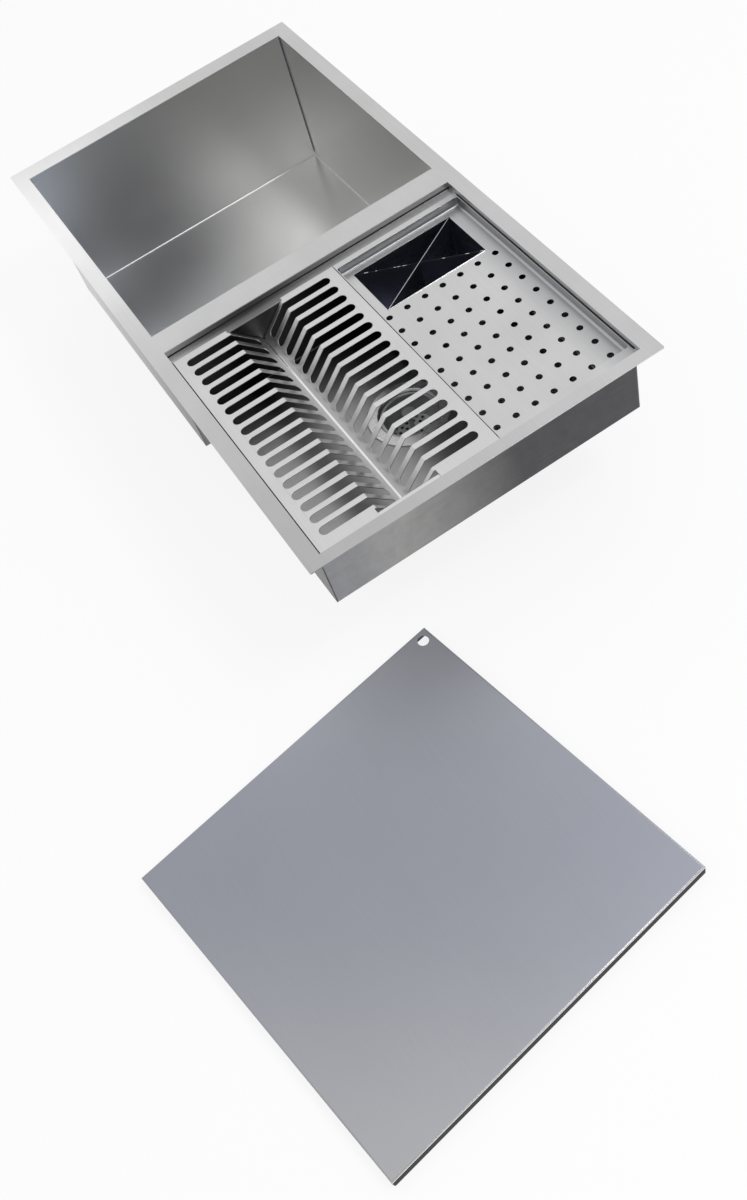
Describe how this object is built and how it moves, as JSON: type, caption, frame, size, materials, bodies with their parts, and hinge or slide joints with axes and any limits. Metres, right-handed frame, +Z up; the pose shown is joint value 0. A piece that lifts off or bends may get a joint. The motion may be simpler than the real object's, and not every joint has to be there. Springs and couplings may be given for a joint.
{
  "type": "kitchen sink with ice trough",
  "caption": "Drop-in steel sink with a deep ice trough, a stepped bowl, a basket strainer, a folded dish rack, a perforated drainer with a cutlery pocket and a loose trough lid.",
  "frame": {"origin": "middle of the deck's length and width, on the counter's top under the deck's sheet", "axes": "+X from the trough towards the bowl, +Y across the sink towards the drainer, +Z up"},
  "size_m": [1.4984, 0.8554, 0.2315],
  "materials": {
    "sink_steel": "satin brushed",
    "accessory_steel": "fine satin",
    "lid_steel": "satin",
    "polished_steel": "polished",
    "plated_metal": "dull plated",
    "black_rubber": "matt",
    "fibre": "matt"
  },
  "bodies": {
    "sink": {"deck_flange": "sink_steel", "trough_wrap": "sink_steel", "trough_left_wall": "sink_steel", "trough_right_wall": "sink_steel", "bowl_wrap": "sink_steel", "bowl_left_wall": "sink_steel", "bowl_right_wall": "sink_steel", "strainer_body": "polished_steel", "strainer_gasket": "black_rubber", "strainer_washer": "fibre", "strainer_locknut": "plated_metal", "tailpiece": "polished_steel", "tailpiece_washer": "fibre", "tailpiece_nut": "plated_metal"},
    "rack": {"dish_rack": "accessory_steel"},
    "drainer": {"drainer_tray": "accessory_steel", "cutlery_pocket": "accessory_steel"},
    "cutlery_divider": {"cutlery_divider_a": "accessory_steel", "cutlery_divider_b": "accessory_steel"},
    "basket": {"strainer_basket": "polished_steel", "basket_post": "polished_steel", "basket_stopper": "black_rubber"},
    "lid": {"trough_lid": "lid_steel"}
  },
  "joints": [
    {"name": "rack_lift", "type": "slide", "parent": "sink", "child": "rack", "axis": [0, 0, 1], "range_m": [0, 0.12]},
    {"name": "drainer_lift", "type": "slide", "parent": "sink", "child": "drainer", "axis": [0, 0, 1], "range_m": [0, 0.16]},
    {"name": "divider_lift", "type": "slide", "parent": "drainer", "child": "cutlery_divider", "axis": [0, 0, 1], "range_m": [0, 0.11]},
    {"name": "basket_lift", "type": "slide", "parent": "sink", "child": "basket", "axis": [0, 0, 1], "range_m": [0, 0.08]},
    {"name": "lid_lift", "type": "slide", "parent": "sink", "child": "lid", "axis": [0, 0, 1], "range_m": [0, 0.3]}
  ]
}
